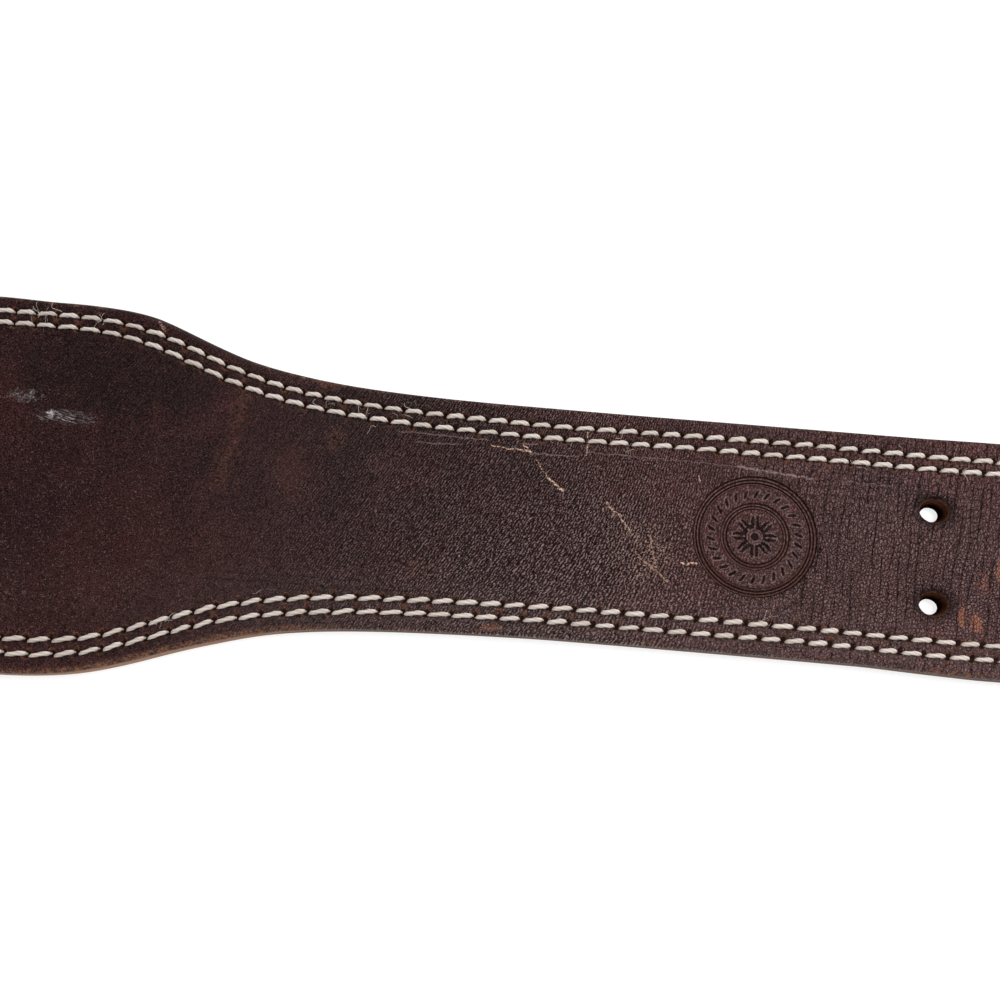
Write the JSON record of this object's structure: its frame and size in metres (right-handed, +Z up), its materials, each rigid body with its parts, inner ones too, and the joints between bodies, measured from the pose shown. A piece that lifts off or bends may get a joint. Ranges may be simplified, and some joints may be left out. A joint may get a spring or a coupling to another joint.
{
  "type": "weightlifting belt",
  "caption": "Tapered leather lifting belt laid open and flat, with a broad back, stitched edges, prong holes, a pressed rosette and a prong buckle.",
  "frame": {"origin": "on the underside, below the middle of the whole length", "axes": "+X along the belt to the tip of the tongue, +Y across the belt, +Z up out of its face"},
  "size_m": [1.164, 0.104, 0.014],
  "materials": {
    "leather": "dark brown finished grain leather, pebbled and creased in places, worn, with a raw tan edge",
    "thread": "thick twisted undyed thread",
    "buckle_metal": "plain round bar, satin"
  },
  "bodies": {
    "root": {"belt_leather": "leather", "buckle": "buckle_metal"}
  },
  "joints": []
}
